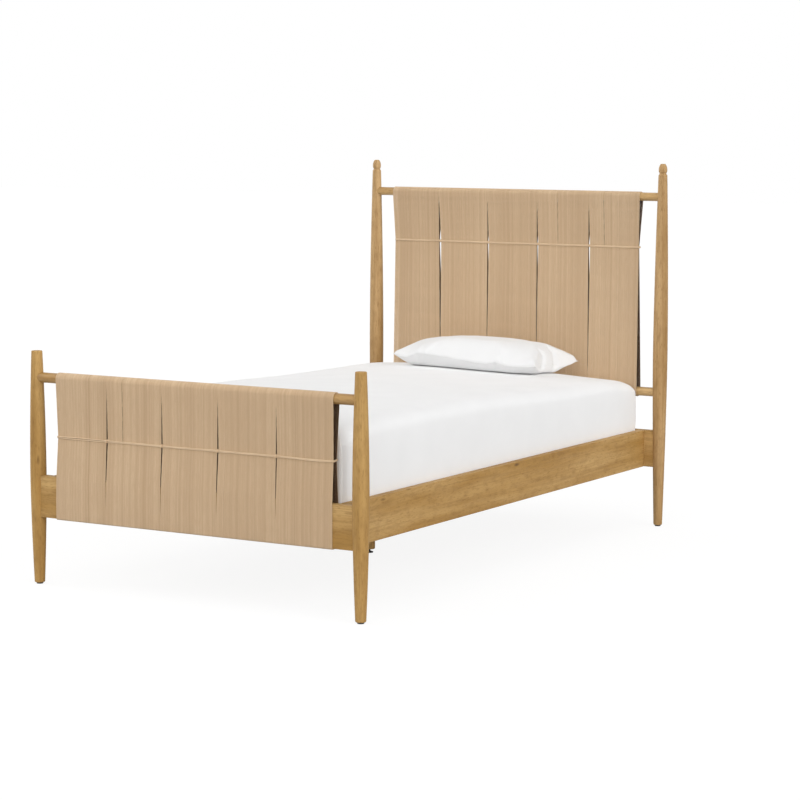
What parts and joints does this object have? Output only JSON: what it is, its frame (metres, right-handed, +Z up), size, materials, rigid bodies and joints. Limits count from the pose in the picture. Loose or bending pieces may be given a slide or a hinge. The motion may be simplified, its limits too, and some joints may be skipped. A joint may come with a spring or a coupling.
{
  "type": "single bed",
  "caption": "Single bed with turned tapering posts, corded headboard and footboard panels, slatted base, centre leg, mattress and pillow.",
  "frame": {"origin": "on the floor under the middle of the bed", "axes": "+X to the right seen from the foot, +Y from the foot to the head, +Z up"},
  "size_m": [1.1952, 2.0064, 1.251],
  "materials": {
    "oak": "satin",
    "slat_wood": "matte",
    "paper_cord": "matte",
    "zinc_steel": "satin",
    "black_steel": "satin",
    "black_plastic": "matte",
    "sheet_cotton": "matte",
    "pillow_cotton": "matte"
  },
  "bodies": {
    "bed_frame": {"foot_post_left": "oak", "foot_post_right": "oak", "head_post_left": "oak", "head_post_right": "oak", "foot_top_dowel": "oak", "foot_rail": "oak", "head_top_dowel": "oak", "head_lower_dowel": "oak", "head_rail": "oak", "side_rail_left": "oak", "side_rail_right": "oak", "centre_leg": "oak", "ledger_left": "slat_wood", "ledger_right": "slat_wood", "cross_beam": "slat_wood", "slat_1": "slat_wood", "slat_2": "slat_wood", "slat_3": "slat_wood", "slat_4": "slat_wood", "slat_5": "slat_wood", "slat_6": "slat_wood", "slat_7": "slat_wood", "slat_8": "slat_wood", "slat_9": "slat_wood", "slat_10": "slat_wood", "slat_11": "slat_wood", "slat_12": "slat_wood", "slat_13": "slat_wood", "foot_rope_1": "paper_cord", "foot_rope_2": "paper_cord", "foot_rope_3": "paper_cord", "foot_rope_4": "paper_cord", "foot_rope_5": "paper_cord", "head_rope_1": "paper_cord", "head_rope_2": "paper_cord", "head_rope_3": "paper_cord", "head_rope_4": "paper_cord", "head_rope_5": "paper_cord", "foot_binding_cord": "paper_cord", "head_binding_cord": "paper_cord", "foot_cord_ties": "paper_cord", "head_cord_ties": "paper_cord", "ledger_screws": "zinc_steel", "slat_screws": "zinc_steel", "beam_brackets": "zinc_steel", "beam_bracket_screws": "zinc_steel", "leg_plate": "zinc_steel", "leg_plate_screws": "zinc_steel", "leg_hanger_bolt": "zinc_steel", "leg_insert": "zinc_steel", "hook_plates": "zinc_steel", "keeper_plates": "zinc_steel", "fitting_screws": "zinc_steel", "post_pads": "black_plastic"},
    "glide_foot": {"glide_foot": "black_plastic"},
    "glide_stem": {"glide_stem": "black_steel"},
    "mattress": {"mattress": "sheet_cotton"},
    "pillow": {"pillow": "pillow_cotton"}
  },
  "joints": [
    {"name": "glide_travel", "type": "slide", "parent": "bed_frame", "child": "glide_foot", "axis": [0, 0, 1], "range_m": [-0.006, 0.006]},
    {"name": "glide_turn", "type": "hinge", "parent": "glide_foot", "child": "glide_stem", "pos_m": [0, -0.00038, 0.01], "axis": [0, 0, 1], "range_deg": [-2170, 2170]},
    {"name": "mattress_lift", "type": "slide", "parent": "bed_frame", "child": "mattress", "axis": [0, 0, 1], "range_m": [0, 1]},
    {"name": "pillow_lift", "type": "slide", "parent": "mattress", "child": "pillow", "axis": [0, 0, 1], "range_m": [0, 0.4]}
  ],
  "couplings": [
    {"joint": "glide_turn", "follows": "glide_travel", "rad_per_m": 6283.2}
  ]
}
